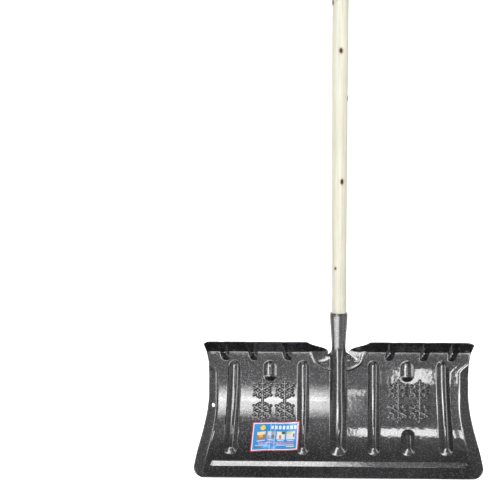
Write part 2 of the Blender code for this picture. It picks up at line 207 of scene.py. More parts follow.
def edge_half_width(s):
    """Half the sheet's width at s, with rounded lower corners."""
    foot = FOOT_FLARE["more"] * (1 - smooth(FOOT_FLARE["from"], FOOT_FLARE["to"], s))
    top = TOP_FLARE["more"] * smooth(TOP_FLARE["from"], TOP_FLARE["to"], s)
    inside = np.clip(CORNER_RADIUS - s, 0.0, CORNER_RADIUS)
    return WAIST + foot + top - (CORNER_RADIUS - np.sqrt(CORNER_RADIUS**2 - inside**2))


def fan_factor(x, s):
    """How many times further out the fan puts what is at x, when it is at s."""
    low_share = 1 - smooth(FAN["low"], FAN["high"], s)
    return 1 + FAN["share"] * low_share * (x / FAN["at"]) ** 2


def fanned(x, s):
    """Where x at the top of the fan comes to at s."""
    return x * fan_factor(x, s)


def unfanned(x, s):
    """Near enough the x at the top of the fan that comes to this x at s."""
    return x / fan_factor(x, s)


def pressed(distance, half, height, shape=1.2):
    """A rounded rise of this height over a line at this distance."""
    return height * np.clip(1 - (distance / half) ** 2, 0.0, 1.0) ** shape


def to_segment(value, across, low, high):
    """Distance to the stretch from low to high of a line that runs along value."""
    return np.hypot(across, value - np.clip(value, low, high))


def ridge_height(x, s):
    """The middle ridge, round at its foot and taller upwards."""
    share = smooth(RIDGE["from"], RIDGE["to"], s)
    height = RIDGE["low_height"] + (RIDGE["height"] - RIDGE["low_height"]) * share
    distance = to_segment(s, x, RIDGE["start"] + RIDGE["half"], 1.0)
    return pressed(distance, RIDGE["half"], height)


def wing_height(x, s):
    """The side wing: outside its line the sheet turns forward, and the line runs out at the top."""
    line = WING["line"] + WING["foot_spread"] * (1 - smooth(WING["foot"], WING["low"], s))
    line = line + (WAIST + WING["past_waist"] - WING["line"]) * smooth(WING["high"], WING["end"], s)
    outside = x - line
    height = math.tan(WING_TURN) * (np.hypot(outside, WING_ROUNDING) + outside) / 2
    return np.where(outside < -WING["reach_in"], 0.0, height)


def bead_height(x, s):
    """A long step behind the cutting edge: a slanting face that drops back sharply at its crest."""
    rising = np.clip((s - BEAD["foot"]) / (BEAD["crest"] - BEAD["foot"]), 0.0, 1.0)
    falling = 1 - smooth(BEAD["crest"], BEAD["back"], s)
    ends = 1 - smooth(BEAD["reach"] - BEAD["end"], BEAD["reach"], np.abs(x))
    return BEAD["height"] * rising * falling * ends


def dart_height(x, s):
    """The creases pressed across the fold: deepest at the fold, round at the foot, leaning outwards."""
    along = s - FOLD_AT
    below = np.sqrt(np.clip(1 + along / DART["reach"], 0.0, 1.0))
    above = np.clip(1 - along / DART["reach_up"], 0.0, 1.0)
    rise = DART["height"] * np.minimum(below, above)
    height = np.zeros_like(x)
    for at in DARTS:
        across = x - at - DART["lean"] * along
        distance = to_segment(along, across, DART["half"] - DART["reach"], 1.0)
        height = np.maximum(height, pressed(distance, DART["half"], rise, DART["edge"]))
    return height


def to_flake(right, up):
    """Distance to the strokes of a snowflake from this far right of and up from its middle."""
    arm = FLAKES["arm"]
    distance = np.full_like(right, 1.0)
    for turn in (math.pi / 6 + k * math.pi / 3 for k in range(6)):
        along = right * math.cos(turn) + up * math.sin(turn)
        off = -right * math.sin(turn) + up * math.cos(turn)
        distance = np.minimum(distance, to_segment(along, off, 0.0, arm))
        root = along - TWIG["from"] * arm
        for side in (-1, 1):
            twig = root * TWIG["cos"] + off * side * TWIG["sin"]
            beside = -root * TWIG["sin"] + off * side * TWIG["cos"]
            distance = np.minimum(distance, to_segment(twig, beside, 0.0, TWIG["length"] * arm))
    return distance


def flake_height(x, s):
    """Raised strokes of the snowflakes: three bars through each middle, and a pair of twigs on each arm."""
    height = np.zeros_like(x)
    for middle_x in FLAKES["across"]:
        for middle_s in FLAKES["up"]:
            right, up = x - middle_x, s - middle_s
            near = np.hypot(right, up) < FLAKES["arm"] * FLAKE_CLEAR
            stroke = pressed(
                to_flake(right, up), FLAKE_STROKE["half"], FLAKE_STROKE["height"], FLAKE_STROKE["edge"]
            )
            height = np.where(near, np.maximum(height, stroke), height)
    return height


def relief(x, s):
    """How far the sheet stands forward of its plain curve."""
    wing = wing_height(np.abs(x), s)
    across = unfanned(np.abs(x), s)
    height = ridge_height(across, s)
    for at, low_right, low_left, high, half, tall in RIBS:
        low = np.where(x < 0, low_left, low_right)
        height = np.maximum(height, pressed(to_segment(s, across - at, low + half, high - half), half, tall))
    height = np.maximum(height, bead_height(across, s))
    height = np.maximum(height, dart_height(across, s))
    from_ring = np.hypot(across - SWAGE["x"], s - SWAGE["s"]) - SWAGE["radius"]
    swage = pressed(from_ring, SWAGE["half"], SWAGE["height"])
    height = np.maximum(height, np.where(s < FOLD_AT - SWAGE["below_fold"], swage, 0.0))
    height = np.maximum(height, flake_height(x, s))
    return height + wing


def socket_radius(s):
    """Radius of the socket's middle surface: a cone that opens upwards."""
    share = smooth(SOCKET_WIDENS_FROM, SCALLOP_LOW + STEM_LENGTH, s)
    return SOCKET_NECK + (SOCKET_MOUTH - SOCKET_NECK) * share


def roll_angle(x):
    """Where a point x across the sheet ends up round the socket, counting the sheet in the ridge's bulge."""
    across = np.linspace(0.0, STEM_HALF, ROLL_SAMPLES)
    rise = ridge_height(across, np.full_like(across, RIDGE_FULL_AT))
    lengths = np.concatenate([[0.0], np.cumsum(np.hypot(np.diff(across), np.diff(rise)))])
    return np.sign(x) * SEAM_ANGLE * np.interp(np.abs(x), across, lengths) / lengths[-1]


def taut(height):
    """The least height of a film stretched over this relief, on the same grid."""
    film = height.copy()
    for _ in range(TAUT_ROUNDS):
        padded = np.pad(film, 1, mode="edge")
        mean = (padded[:-2, 1:-1] + padded[2:, 1:-1] + padded[1:-1, :-2] + padded[1:-1, 2:]) / 4
        film = np.maximum(height, mean)
    return film


def raised_points(x, line, forward):
    """Points this far forward of a line of (back, up, lean), square to it, not yet put in the frame."""
    back, up, lean = line
    return np.stack([x, back - forward * np.cos(lean), up + forward * np.sin(lean)], axis=-1)


def film_points(x, s):
    """Points on the sheet where the label lies: like sheet_points, but taut over what is pressed."""
    return raised_points(x, blade_line(s), taut(relief(x, s))) + SHEET_TO_FRAME


def sheet_points(x, s):
    """Points of the sheet's middle surface in the frame, as an array with a last axis of three."""
    roll = smooth(ROLL_START, ROLL_END, s) * (1 - smooth(STEM_HALF, ROLL_FADES_AT, np.abs(x)))
    upright = 1 - smooth(STEM_HALF, UPRIGHT_FADES_AT, np.abs(x))
    line = [outer + (middle - outer) * upright for outer, middle in zip(blade_line(s), stem_line(s))]
    relief_ends = np.where(np.abs(x) > STEM_HALF, BLADE_TOP, RELIEF_TOP)
    pressed_sheet = raised_points(x, line, relief(x, np.minimum(s, relief_ends)))
    angle = roll_angle(x)
    radius = socket_radius(s)
    socket = np.stack([np.sin(angle) * radius, AXIS_BACK - np.cos(angle) * radius, line[1]], axis=-1)
    return pressed_sheet + (socket - pressed_sheet) * roll[..., None] + SHEET_TO_FRAME


# ---------------------------------------------------------------- grids
def spread_lines(low, high, coarse, fine_places):
    """Grid lines from low to high: coarse apart, but closer within each (from, to, step) of fine_places."""
    lines = [low]
    while lines[-1] < high - TINY:
        here = lines[-1]
        step = coarse
        for start, end, fine in fine_places:
            if start - TINY <= here < end - TINY:
                step = min(step, fine)
            elif here < start:
                step = min(step, start - here)
        lines.append(min(here + step, high))
    return np.array(lines)


def half_columns():
    """The grid's columns from the middle to where the wing's own columns begin."""
    fine = [(0.0, STEM_HALF, CREASE_STEP), (STEM_HALF, SCALLOP_HALF, RIB_STEP)]
    flake_reach = FLAKES["arm"] + FLAKE_MARGIN
    fine += [(abs(at) - flake_reach, abs(at) + flake_reach, FLAKE_STEP) for at in FLAKES["across"]]
    fine += [(at - half, at + half, RIB_STEP) for at, _, _, _, half, _ in RIBS]
    fine += [(at - DART["half"], at + DART["half"], CREASE_STEP) for at in DARTS]
    return spread_lines(0.0, WING_COLUMNS_FROM, PLAIN_STEP, fine)


def blade_rows():
    """The grid's rows from the cutting edge to the top of the lip."""
    flake_reach = FLAKES["arm"] + FLAKE_MARGIN
    fine = [(0.0, EDGE_ROWS, EDGE_STEP)]
    fine += [(BEAD["foot"] - BEAD_ROWS[0], BEAD["back"] + BEAD_ROWS[1], BEAD_STEP)]
    fine += [(low - RIB_FOOT_ROWS[0], low + RIB_FOOT_ROWS[1], RIB_STEP) for _, low, _, _, _, _ in RIBS]
    fine += [(at - flake_reach, at + flake_reach, FLAKE_STEP) for at in FLAKES["up"]]
    fine += [(*RIB_TOP_ROWS, RIB_STEP), (FOLD_AT - FOLD_ROWS, FOLD_AT + FOLD_ROWS, FOLD_STEP)]
    return spread_lines(0.0, BLADE_TOP, PLAIN_STEP, fine)


def top_of_column(x):
    """Where the sheet's upper edge is at x: low in the middle, then up the scallop to the lip."""
    share = (np.abs(x) - STEM_HALF) / (SCALLOP_HALF - STEM_HALF)
    top = SCALLOP_LOW + (BLADE_TOP - SCALLOP_LOW) * smooth(*SCALLOP_SHARES, share)
    return np.where(share > 0, top, SCALLOP_LOW)


def row_height(x, s):
    """Squeezes the upper rows of each column under the sheet's upper edge."""
    share = (s - SQUEEZED_ABOVE) / (BLADE_TOP - SQUEEZED_ABOVE)
    squeezed = SQUEEZED_ABOVE + share * (top_of_column(x) - SQUEEZED_ABOVE)
    return np.where(s <= SQUEEZED_ABOVE, s, squeezed)


def blade_grid():
    """(x, s) of every grid point of the blade, the columns along the first axis."""
    right = half_columns()
    plain = np.concatenate([-right[:0:-1], right])
    rows = blade_rows()
    inner_x = fanned(plain[:, None], rows[None, :])
    wing_share = np.linspace(0.0, 1.0, WING_COLUMNS + 1)[1:, None]
    wing_start = fanned(WING_COLUMNS_FROM, rows)[None, :]
    wing_x = wing_start + wing_share * (edge_half_width(rows)[None, :] - wing_start)
    x = np.concatenate([-wing_x[::-1], inner_x, wing_x])
    s = row_height(x, np.broadcast_to(rows, x.shape))
    return x, s


def add_grid(bm, points, first_row=None):
    """Adds a grid of quads. The first row's vertices can be given, to carry on from another grid."""
    columns, rows, _ = points.shape
    lines = []
    for i in range(columns):
        start = [first_row[i]] if first_row else []
        lines.append(start + [bm.verts.new(points[i, j]) for j in range(len(start), rows)])
    for first, second in zip(lines, lines[1:]):
        for j in range(rows - 1):
            bm.faces.new((first[j], second[j], second[j + 1], first[j + 1]))
    return lines


# ---------------------------------------------------------------- the sheet and its label
def add_object(name, bm, finish):
    """A smooth piece with this mesh and material, riding the part's only body."""
    mesh = bpy.data.meshes.new(name)
    bm.to_mesh(mesh)
    bm.free()
    mesh.materials.append(finish)
    mesh.shade_smooth()
    piece = bpy.data.objects.new(name, mesh)
    bpy.context.scene.collection.objects.link(piece)
    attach(piece, "root")
    return piece


def solidify(piece, thickness):
    """Gives a surface this thickness, half on each side."""
    modifier = piece.modifiers.new("thickness", "SOLIDIFY")
    modifier.thickness = thickness
    modifier.offset = 0
    modifier.use_even_offset = True


def open_wing_hole(bm):
    """Takes out the faces inside the hole and rounds the gap to the hole's radius."""
    centre = Vector(sheet_points(np.array([WING_HOLE["x"]]), np.array([WING_HOLE["s"]]))[0])
    radius = WING_HOLE["radius"]
    near = [f for f in bm.faces if (f.calc_center_median() - centre).length < radius]
    ring = {v for f in near for v in f.verts}
    bmesh.ops.delete(bm, geom=near, context="FACES_ONLY")
    loose = [v for v in ring if not v.link_faces]
    ring -= set(loose)
    bmesh.ops.delete(bm, geom=loose, context="VERTS")
    for vert in ring:
        away = vert.co - centre
        vert.co = centre + away.normalized() * radius


def make_head(finish):
    """Blade, lip, wings and socket as one pressed sheet."""
    bm = bmesh.new()
    x, s = blade_grid()
    blade = add_grid(bm, sheet_points(x, s))
    stem = [i for i in range(x.shape[0]) if abs(x[i, -1]) <= STEM_HALF + TINY]
    fine = [(SCALLOP_LOW, STEM_TURN_ROWS, CREASE_STEP)]
    up = spread_lines(SCALLOP_LOW, SCALLOP_LOW + STEM_LENGTH, STEM_STEP, fine)
    stem_x = np.broadcast_to(x[stem, -1][:, None], (len(stem), len(up)))
    stem_s = np.broadcast_to(up, stem_x.shape)
    add_grid(bm, sheet_points(stem_x, stem_s), [blade[i][-1] for i in stem])
    open_wing_hole(bm)
    bmesh.ops.recalc_face_normals(bm, faces=bm.faces)
    head = add_object("pressed_sheet", bm, finish)
    solidify(head, SHEET)
    head.data.set_sharp_from_angle(angle=SHEET_SHARP_ANGLE)
    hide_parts("blade_with_socket")


def make_label(finish):
    """The printed film, stuck on the sheet over the short rib. Its UV map runs 0 to 1 across the print."""
    share_x = np.linspace(0.0, 1.0, LABEL_COLUMNS + 1)[:, None]
    share_up = np.linspace(0.0, 1.0, LABEL_ROWS + 1)[None, :]
    corners = [np.array(c) for c in (*LABEL_CORNERS["foot"], *LABEL_CORNERS["top"])]
    foot = [corners[0][k] + share_x * (corners[1][k] - corners[0][k]) for k in (0, 1)]
    top = [corners[2][k] + share_x * (corners[3][k] - corners[2][k]) for k in (0, 1)]
    x, s = (low + share_up * (high - low) for low, high in zip(foot, top))
    bm = bmesh.new()
    lines = add_grid(bm, film_points(x, s))
    bm.normal_update()
    lifts = [(v, v.normal * math.copysign(SHEET / 2 + LABEL_LIFT, -v.normal.y)) for v in bm.verts]
    for vert, lift in lifts:
        vert.co += lift
    place = {}
    for i, line in enumerate(lines):
        for j, vert in enumerate(line):
            place[vert] = (i / LABEL_COLUMNS, j / LABEL_ROWS)
    print_map = bm.loops.layers.uv.new("print")
    for face in bm.faces:
        for loop in face.loops:
            loop[print_map].uv = place[loop.vert]
    bmesh.ops.recalc_face_normals(bm, faces=bm.faces)
    label = add_object("printed_film", bm, finish)
    solidify(label, LABEL_THICK)
    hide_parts("label")


# ---------------------------------------------------------------- the pole
# The visual pole starts just inside the socket's mouth, and swells from its foot between the two heights.
POLE = {"foot": 0.300, "foot_radius": 0.0146, "swell": 0.0018, "from": 0.32, "to": 0.93, "sides": 72}
POLE_SHARP_ANGLE = math.radians(50)
RING_STEP = 0.004
BODY_ENDS_BELOW_TOP = 0.0035
# (size, radians per metre, start) of the waves in the pole's radius, and the first two of its bow
WAVES = ((0.00012, 41.0, 0.0), (0.00010, 97.0, 1.3))
BOW = (0.0004, 7.0)
# (below the top, in from the side) of the rings that round off the pole's end
END_RINGS = ((0.0019, 0.0003), (0.0007, 0.0010), (0.0, 0.0024))
# (bearing round from the front in degrees, height, half width, half height) of each knot in the pole
KNOTS = [
    (-64, 0.915, 0.0030, 0.0046), (6, 0.823, 0.0030, 0.0046), (74, 0.730, 0.0026, 0.0040),
    (18, 0.568, 0.0030, 0.0050), (150, 0.660, 0.0026, 0.0040), (-140, 0.470, 0.0022, 0.0034),
    (200, 0.880, 0.0028, 0.0044), (-40, 1.060, 0.0024, 0.0040), (110, 1.180, 0.0026, 0.0040),
    (20, 1.300, 0.0022, 0.0036), (-120, 1.240, 0.0026, 0.0040), (-30, 0.397, 0.0024, 0.0032),
]
# How far the knots' middles are from the pole's axis, and how the surface rises over a larger spot
KNOT_REACH = 0.0165
KNOT_BULGE = {"height": 0.00035, "wider": 1.6, "taller": 1.8}


def pole_radius(height):
    """The pole is a cone out of the socket, then nearly even, with the faint waves of hand sanding."""
    radius = POLE["foot_radius"] + POLE["swell"] * smooth(POLE["from"], POLE["to"], height)
    for size, rate, start in WAVES:
        radius += size * np.sin(height * rate + start)
    return float(radius)


def knot_bulge(turn, height, radius):
    """How far the knots push the pole's surface out here."""
    bulge = 0.0
    for bearing, at, half_wide, half_high in KNOTS:
        off = (turn - math.radians(bearing) + math.pi) % (2 * math.pi) - math.pi
        aside = off * radius / (half_wide * KNOT_BULGE["wider"])
        above = (height - at) / (half_high * KNOT_BULGE["taller"])
        bulge += KNOT_BULGE["height"] * math.exp(-(aside**2 + above**2))
    return bulge


def around_axis(reach, turn, height, aside=0.0):
    """A place this far from the handle's axis, at this turn from the front."""
    return aside + reach * math.sin(turn), HANDLE_AXIS_Y - reach * math.cos(turn), height


def make_pole(finish):
    """The wooden pole, a little wavy and crooked, with rounded edges at its free end."""
    top = handle_high.z
    turns = np.linspace(0.0, 2 * math.pi, POLE["sides"] + 1)[:-1]
    bm = bmesh.new()
    rings = []
    for height in spread_lines(POLE["foot"], top - BODY_ENDS_BELOW_TOP, RING_STEP, []):
        radius = pole_radius(height)
        aside = BOW[0] * math.sin(height * BOW[1])
        places = [around_axis(radius + knot_bulge(t, height, radius), t, height, aside) for t in turns]
        rings.append([bm.verts.new(place) for place in places])
    for drop, inset in END_RINGS:
        reach = pole_radius(top) - inset
        rings.append([bm.verts.new(around_axis(reach, t, top - drop)) for t in turns])
    for low, high in zip(rings, rings[1:]):
        for i in range(len(turns)):
            j = (i + 1) % len(turns)
            bm.faces.new((low[i], low[j], high[j], high[i]))
    bm.faces.new(rings[-1])
    bm.faces.new(list(reversed(rings[0])))
    bmesh.ops.recalc_face_normals(bm, faces=bm.faces)
    pole = add_object("wooden_pole", bm, finish)
    pole.data.set_sharp_from_angle(angle=POLE_SHARP_ANGLE)
    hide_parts("handle")


# ---------------------------------------------------------------- material nodes
def new_material(name):
    """A material with nodes, and its main shader."""
    made = bpy.data.materials.new(name)
    made.use_nodes = True
    return made, made.node_tree.nodes["Principled BSDF"]


def node(tree, kind, **values):
    """A node of this kind. Sockets' names have underscores for spaces; attributes are in lower case."""
    made = tree.nodes.new(kind)
    for key, value in values.items():
        if key[0].islower():
            setattr(made, key, value)
        else:
            made.inputs[key.replace("_", " ")].default_value = value
    return made


def ramp(tree, source, stops):
    """Colours at the stops' (position, colour), even between them."""
    made = node(tree, "ShaderNodeValToRGB")
    elements = made.color_ramp.elements
    while len(elements) < len(stops):
        elements.new(0.5)
    for element, (position, color) in zip(elements, stops):
        element.position = position
        element.color = (*color, 1)
    tree.links.new(source, made.inputs[0])
    return made.outputs[0]


def grey_ramp(tree, source, stops):
    """Greys at the stops' (position, shade), even between them."""
    return ramp(tree, source, [(position, (shade,) * 3) for position, shade in stops])


def object_coordinates(tree):
    """The piece's own coordinates, in metres."""
    return node(tree, "ShaderNodeTexCoord").outputs["Object"]


def noise(tree, coordinates, scale, detail=3.0, roughness=0.5):
    """Soft noise from 0 to 1, with this many waves to a metre."""
    made = node(tree, "ShaderNodeTexNoise", Scale=scale, Detail=detail, Roughness=roughness)
    tree.links.new(coordinates, made.inputs["Vector"])
    return made.outputs["Fac"]


def cells(tree, coordinates, scale, feature="F1"):
    """The node of a cell pattern with this many cells to a metre."""
    made = node(tree, "ShaderNodeTexVoronoi", feature=feature, Scale=scale)
    tree.links.new(coordinates, made.inputs["Vector"])
    return made


def math_node(tree, operation, first, second=0.0):
    """The outcome of this operation on two outputs or numbers."""
    made = node(tree, "ShaderNodeMath", operation=operation)
    for socket, value in zip(made.inputs, (first, second)):
        if isinstance(value, (int, float)):
            socket.default_value = value
        else:
            tree.links.new(value, socket)
    return made.outputs[0]


def vector_node(tree, operation, vector, constant=(0, 0, 0)):
    """The node of this operation on an output and a constant vector."""
    made = node(tree, "ShaderNodeVectorMath", operation=operation)
    tree.links.new(vector, made.inputs[0])
    made.inputs[1].default_value = constant
    return made


def mixed(tree, share, first, second, blend="MIX"):
    """First with this share of second, where each is an output, a number or a colour."""
    made = node(tree, "ShaderNodeMix", data_type="RGBA", blend_type=blend)
    for name, value in (("Factor", share), ("A", first), ("B", second)):
        kind = "VALUE" if name == "Factor" else "RGBA"
        socket = next(i for i in made.inputs if i.name == name and i.type == kind)
        if isinstance(value, (int, float)):
            socket.default_value = value
        elif isinstance(value, tuple):
            socket.default_value = (*value, 1)
        else:
            tree.links.new(value, socket)
    return next(o for o in made.outputs if o.type == "RGBA")


def bump(tree, height, distance):
    """The normal of a surface that this height raises by up to this distance."""
    made = node(tree, "ShaderNodeBump", Distance=distance, Strength=1.0)
    tree.links.new(height, made.inputs["Height"])
    return made.outputs["Normal"]


# ---------------------------------------------------------------- enamel, wood and zinc
def hammered_enamel():
    """Glossy dark paint with metal flake, a hammered surface and light flecks."""
    made, shader = new_material("hammered_enamel")
    tree = made.node_tree
    place = object_coordinates(tree)
    clouds = noise(tree, place, 9.0, 4.0, 0.6)
    ground = ramp(tree, clouds, [(0.30, (0.020, 0.019, 0.020)), (0.70, (0.050, 0.048, 0.050))])
    flakes = cells(tree, place, 620.0)
    fleck = grey_ramp(tree, flakes.outputs["Color"], [(0.62, 0.0), (0.90, 1.0)])
    speckled = mixed(tree, math_node(tree, "MULTIPLY", fleck, 0.40), ground, (0.30, 0.30, 0.315))
    tree.links.new(speckled, shader.inputs["Base Color"])
    shader.inputs["Metallic"].default_value = 0.85
    rough = grey_ramp(tree, noise(tree, place, 60.0, 3.0), [(0.3, 0.30), (0.7, 0.42)])
    tree.links.new(rough, shader.inputs["Roughness"])
    shader.inputs["Coat Weight"].default_value = 1.0
    shader.inputs["Coat Roughness"].default_value = 0.05
    shader.inputs["Coat IOR"].default_value = 1.8
    hammer = cells(tree, place, 330.0, "SMOOTH_F1").outputs["Distance"]
    grain = noise(tree, place, 900.0, 2.0)
    height = math_node(tree, "ADD", hammer, math_node(tree, "MULTIPLY", grain, 0.5))
    tree.links.new(bump(tree, height, 0.00012), shader.inputs["Normal"])
    ripple = noise(tree, place, 140.0, 2.0)
    tree.links.new(bump(tree, ripple, 0.00012), shader.inputs["Coat Normal"])
    return made


def nearest_knot(tree, place):
    """Distance to the nearest knot's middle, counted in that knot's own half width and half height."""
    nearest = 9.0
    for bearing, height, half_wide, half_high in KNOTS:
        centre = around_axis(KNOT_REACH, math.radians(bearing), height)
        moved = vector_node(tree, "SUBTRACT", place, centre).outputs[0]
        scale = (1 / half_wide, 1 / half_wide, 1 / half_high)
        scaled = vector_node(tree, "MULTIPLY", moved, scale).outputs[0]
        length = vector_node(tree, "LENGTH", scaled).outputs["Value"]
        nearest = math_node(tree, "MINIMUM", length, nearest)
    return nearest


def bare_wood():
    """Pale sanded wood: long grain, duller streaks and stains, and dark knots with a brown ring."""
    made, shader = new_material("bare_wood")
    tree = made.node_tree
    place = object_coordinates(tree)
    stretched = node(tree, "ShaderNodeMapping", Scale=(1.0, 1.0, 0.035))
    tree.links.new(place, stretched.inputs["Vector"])
    grain = noise(tree, stretched.outputs[0], 260.0, 5.0, 0.62)
    streaks = noise(tree, stretched.outputs[0], 70.0, 3.0)
    stains = noise(tree, place, 9.0, 3.0)
    shades = [(0.28, (0.68, 0.63, 0.48)), (0.48, (0.82, 0.80, 0.66)), (0.75, (0.88, 0.87, 0.75))]
    pale = ramp(tree, grain, shades)
    streaked = mixed(tree, grey_ramp(tree, streaks, [(0.52, 0.0), (0.78, 0.55)]), pale, (0.66, 0.61, 0.49))
    stained = mixed(tree, grey_ramp(tree, stains, [(0.50, 0.0), (0.75, 0.35)]), streaked, (0.70, 0.70, 0.60))
    ragged = math_node(tree, "ADD", nearest_knot(tree, place), math_node(tree, "MULTIPLY", grain, 0.5))
    # A quarter of the distance, so that the ramps reach four half widths out.
    quarter = math_node(tree, "MULTIPLY", ragged, 0.25)
    ring = grey_ramp(tree, quarter, [(0.34, 0.55), (0.62, 0.0)])
    core = grey_ramp(tree, quarter, [(0.29, 1.0), (0.39, 0.0)])
    knotted = mixed(tree, core, mixed(tree, ring, stained, (0.50, 0.34, 0.17)), (0.055, 0.018, 0.010))
    tree.links.new(knotted, shader.inputs["Base Color"])
    rough = grey_ramp(tree, grain, [(0.3, 0.62), (0.7, 0.48)])
    tree.links.new(rough, shader.inputs["Roughness"])
    tree.links.new(bump(tree, grain, 0.00018), shader.inputs["Normal"])
    return made


def zinc():
    """Zinc plating with a fine spangle."""
    made, shader = new_material("zinc")
    tree = made.node_tree
    place = object_coordinates(tree)
    spangle = ramp(tree, noise(tree, place, 700.0), [(0.3, (0.50, 0.50, 0.48)), (0.7, (0.72, 0.72, 0.70))])
    tree.links.new(spangle, shader.inputs["Base Color"])
    shader.inputs["Metallic"].default_value = 1.0
    shader.inputs["Roughness"].default_value = 0.32
    tree.links.new(bump(tree, noise(tree, place, 2500.0), 0.00003), shader.inputs["Normal"])
    return made


# ---------------------------------------------------------------- the label's print
# Its edge colour, then (left, right, foot, top) as shares of the label, and colour, painted in this order
PRINT_EDGE = (0.42, 0.006, 0.030)
PRINT = [
    (0.024, 0.976, 0.034, 0.966, (0.80, 0.82, 0.88)),
    (0.046, 0.954, 0.066, 0.934, (0.012, 0.250, 0.640)),
    (0.125, 0.300, 0.400, 0.665, (0.42, 0.17, 0.035)),
    (0.125, 0.300, 0.560, 0.665, (0.86, 0.76, 0.52)),
    (0.160, 0.250, 0.470, 0.560, (0.72, 0.42, 0.05)),
    (0.328, 0.500, 0.400, 0.665, (0.33, 0.38, 0.47)),
    (0.350, 0.410, 0.500, 0.650, (0.66, 0.70, 0.78)),
    (0.420, 0.480, 0.420, 0.540, (0.10, 0.13, 0.18)),
    (0.528, 0.700, 0.400, 0.665, (0.80, 0.76, 0.62)),
    (0.630, 0.700, 0.580, 0.665, (0.06, 0.05, 0.03)),
    (0.580, 0.625, 0.420, 0.540, (0.40, 0.20, 0.14)),
    (0.732, 0.910, 0.400, 0.665, (0.70, 0.66, 0.66)),
    (0.732, 0.850, 0.590, 0.665, (0.42, 0.62, 0.20)),
    (0.870, 0.905, 0.470, 0.600, (0.16, 0.09, 0.09)),
    (0.125, 0.300, 0.345, 0.375, (0.62, 0.66, 0.80)),
    (0.350, 0.480, 0.345, 0.375, (0.62, 0.66, 0.80)),
    (0.550, 0.680, 0.345, 0.375, (0.62, 0.66, 0.80)),
    (0.755, 0.890, 0.345, 0.375, (0.62, 0.66, 0.80)),
    (0.080, 0.280, 0.130, 0.175, (0.10, 0.16, 0.20)),
    (0.100, 0.250, 0.195, 0.225, (0.45, 0.62, 0.80)),
    (0.540, 0.900, 0.195, 0.222, (0.78, 0.62, 0.42)),
    (0.740, 0.910, 0.140, 0.168, (0.86, 0.78, 0.30)),
]
# Rows of blank marks: (left of the first, from one to the next, width, count, foot, top) and colour
HEADING = (0.405, 0.080, 0.050, 7, 0.745, 0.865, (0.74, 0.82, 0.90))
DASHES = (0.160, 0.062, 0.046, 12, 0.262, 0.296, (0.78, 0.24, 0.30))
SUN = {"across": 0.235, "up": 0.800, "radius": 0.055, "color": (0.88, 0.66, 0.02)}
# How tall the label is, as a share of its width
LABEL_ASPECT = 0.66
# Where two creases run up the film, and half the width of the painted glint, a light streak of painted
# highlight along each
GLINT_CREASES = (0.395, 0.485)
GLINT_HALF = 0.012


def print_marks():
    """(left, right, foot, top, colour) of everything square on the label, in the order of painting."""
    marks = list(PRINT)
    for first, apart, wide, count, foot, top, color in (HEADING, DASHES):
        lefts = [first + i * apart for i in range(count)]
        marks += [(left, left + wide, foot, top, color) for left in lefts]
    return marks


def within(tree, value, low, high):
    """1 where an output lies between low and high, else 0."""
    compare = node(tree, "ShaderNodeMath", operation="COMPARE")
    tree.links.new(value, compare.inputs[0])
    compare.inputs[1].default_value = (low + high) / 2
    compare.inputs[2].default_value = (high - low) / 2
    return compare.outputs[0]


def disc(tree, across, up):
    """1 inside the label's sun, else 0."""
    wide = math_node(tree, "SUBTRACT", across, SUN["across"])
    tall = math_node(tree, "MULTIPLY", math_node(tree, "SUBTRACT", up, SUN["up"]), LABEL_ASPECT)
    squares = [math_node(tree, "MULTIPLY", side, side) for side in (wide, tall)]
    far = math_node(tree, "SQRT", math_node(tree, "ADD", *squares))
    return math_node(tree, "LESS_THAN", far, SUN["radius"])


def printed_label():
    """Glossy film: red edge, white line, blue ground, yellow disc, blank marks, four small plain pictures, and
    a painted glint along two creases.
    """
    made, shader = new_material("printed_label")
    tree = made.node_tree
    parts = node(tree, "ShaderNodeSeparateXYZ")
    tree.links.new(node(tree, "ShaderNodeUVMap", uv_map="print").outputs[0], parts.inputs[0])
    across, up = parts.outputs[0], parts.outputs[1]
    painted = PRINT_EDGE
    for left, right, foot, top, color in print_marks():
        mask = math_node(tree, "MULTIPLY", within(tree, across, left, right), within(tree, up, foot, top))
        painted = mixed(tree, mask, painted, color)
    painted = mixed(tree, disc(tree, across, up), painted, SUN["color"])
    # Painted highlight: a light blue-white glint painted into the colour up the film along each crease
    for glint_at in GLINT_CREASES:
        painted_glint = within(tree, across, glint_at - GLINT_HALF, glint_at + GLINT_HALF)
        painted = mixed(tree, math_node(tree, "MULTIPLY", painted_glint, 0.35), painted, (0.55, 0.80, 0.92))
    worn = noise(tree, object_coordinates(tree), 420.0, 4.0, 0.7)
    faded = mixed(tree, grey_ramp(tree, worn, [(0.55, 0.0), (0.85, 0.30)]), painted, (0.75, 0.78, 0.82))
    tree.links.new(faded, shader.inputs["Base Color"])
    shader.inputs["Roughness"].default_value = 0.38
    shader.inputs["Coat Weight"].default_value = 0.8
    shader.inputs["Coat Roughness"].default_value = 0.10
    ripple = noise(tree, object_coordinates(tree), 90.0, 2.0)
    tree.links.new(bump(tree, ripple, 0.0002), shader.inputs["Normal"])
    return made


# ---------------------------------------------------------------- camera
CAMERA = {
    "bearing": math.radians(1.95), "rise": math.radians(8.0), "distance": 4.5,
    "aim": (-0.1733, 0.0, 0.4380), "sensor": 36.0, "lens": 166.8, "clip_end": 100,
}


def look_at(thing, place, target):
    """Puts a camera or lamp at this place and points it at the target."""
    thing.location = place
    thing.rotation_mode = "QUATERNION"
    thing.rotation_quaternion = (Vector(target) - Vector(place)).to_track_quat("-Z", "Y")


